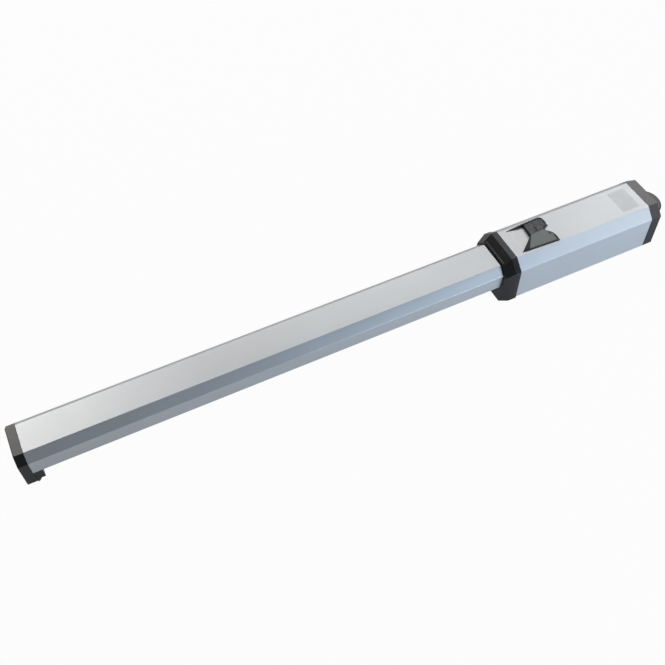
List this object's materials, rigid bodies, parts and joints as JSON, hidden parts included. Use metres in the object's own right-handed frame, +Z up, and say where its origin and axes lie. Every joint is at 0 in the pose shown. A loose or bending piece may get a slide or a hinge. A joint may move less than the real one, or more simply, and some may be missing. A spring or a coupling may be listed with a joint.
{
  "type": "hydraulic swing gate opener",
  "caption": "Slim hydraulic ram opener for a swing gate, with an octagonal motor housing, a sliding ram cover, a rear mounting lug and a manual release under a lid.",
  "frame": {"origin": "centre of the rear pin bore in the lug, at half the lug's height, on the ram axis", "axes": "+X along the ram towards the gate leaf, the way the rod comes out, +Z up, +Y to the side by the right-hand rule"},
  "size_m": [1.0755, 0.0936, 0.0838],
  "materials": {
    "anodised_aluminium": "satin anodised",
    "black_plastic": "fine grained",
    "grey_plastic": "satin",
    "silver_plastic": "satin lacquer",
    "black_casting": "black coated",
    "zinc_steel": "zinc plated",
    "chrome_rod": "hard chrome, ground",
    "tube_steel": "drawn, oiled",
    "cast_aluminium": "machined casting",
    "seal_rubber": "matt",
    "guide_plastic": "natural acetal",
    "magnet_ferrite": "sintered",
    "copper": "bare copper",
    "carbon": "pressed carbon",
    "core_steel": "laminated",
    "brass": "turned"
  },
  "bodies": {
    "housing": {"motor_housing": "anodised_aluminium", "rear_cap": "black_plastic", "front_collar": "black_plastic", "release_frame": "black_plastic", "cable_gland": "black_plastic", "release_ramp": "silver_plastic", "rear_mount": "black_casting", "rear_screws": "zinc_steel", "rear_cap_screws": "zinc_steel", "flange_screws": "zinc_steel", "tank_screws": "zinc_steel", "pump_screws": "zinc_steel", "motor_bolts": "zinc_steel", "lid_pins": "zinc_steel", "check_valves": "zinc_steel", "oil_plug": "zinc_steel", "motor_can": "tube_steel", "motor_bearings": "zinc_steel", "valve_block": "cast_aluminium", "oil_tank": "cast_aluminium", "pump_body": "cast_aluminium", "pump_end_plate": "cast_aluminium", "motor_lantern": "cast_aluminium", "motor_front_shield": "cast_aluminium", "motor_rear_bell": "cast_aluminium", "rod_gland": "cast_aluminium", "front_guide": "guide_plastic", "brush_plate": "guide_plastic", "terminal_block": "guide_plastic", "barrel": "tube_steel", "rod_seal": "seal_rubber", "rod_wiper": "seal_rubber", "shaft_seal": "seal_rubber", "motor_magnets": "magnet_ferrite", "carbon_brushes": "carbon"},
    "ram": {"ram_cover": "anodised_aluminium", "front_cap": "black_plastic", "front_cap_screws": "zinc_steel", "front_head": "zinc_steel", "head_locknut": "zinc_steel", "piston_rod": "chrome_rod", "piston": "cast_aluminium", "piston_seals": "seal_rubber", "piston_nut": "zinc_steel", "stop_tube": "guide_plastic", "rear_guide": "guide_plastic"},
    "rotor": {"motor_shaft": "zinc_steel", "armature_core": "core_steel", "armature_windings": "copper", "commutator": "copper", "coupling_hubs": "cast_aluminium", "drive_gear": "zinc_steel"},
    "pump_idler": {"driven_gear": "zinc_steel"},
    "lid": {"release_lid": "grey_plastic"},
    "latch": {"lid_latch": "grey_plastic"},
    "stem": {"release_stem": "brass"},
    "opening_screw": {"opening_bypass_screw": "brass"},
    "closing_screw": {"closing_bypass_screw": "brass"}
  },
  "joints": [
    {"name": "ram_slide", "type": "slide", "parent": "housing", "child": "ram", "axis": [1, 0, 0], "range_m": [0, 0.4]},
    {"name": "rotor_spin", "type": "hinge", "parent": "housing", "child": "rotor", "pos_m": [0.1, 0, 0], "axis": [1, 0, 0], "continuous": true},
    {"name": "pump_idler_spin", "type": "hinge", "parent": "housing", "child": "pump_idler", "pos_m": [0.187, -0.015, 0], "axis": [1, 0, 0], "continuous": true},
    {"name": "lid_hinge", "type": "hinge", "parent": "housing", "child": "lid", "pos_m": [0.2055, 0, 0.0377], "axis": [0, -1, 0], "range_deg": [0, 95]},
    {"name": "latch_turn", "type": "hinge", "parent": "lid", "child": "latch", "pos_m": [0.2204, -0.0067, 0.038], "axis": [0, 0, -1], "range_deg": [0, 90]},
    {"name": "stem_turn", "type": "hinge", "parent": "housing", "child": "stem", "pos_m": [0.219, 0.006, 0.028], "axis": [0, 0, 1], "range_deg": [0, 180]},
    {"name": "opening_screw_turn", "type": "hinge", "parent": "housing", "child": "opening_screw", "pos_m": [0.226, 0.017, 0.028], "axis": [0, 0, 1], "continuous": true},
    {"name": "closing_screw_turn", "type": "hinge", "parent": "housing", "child": "closing_screw", "pos_m": [0.24, 0.017, 0.028], "axis": [0, 0, 1], "continuous": true}
  ],
  "couplings": [
    {"joint": "pump_idler_spin", "follows": "rotor_spin", "ratio": -1}
  ]
}
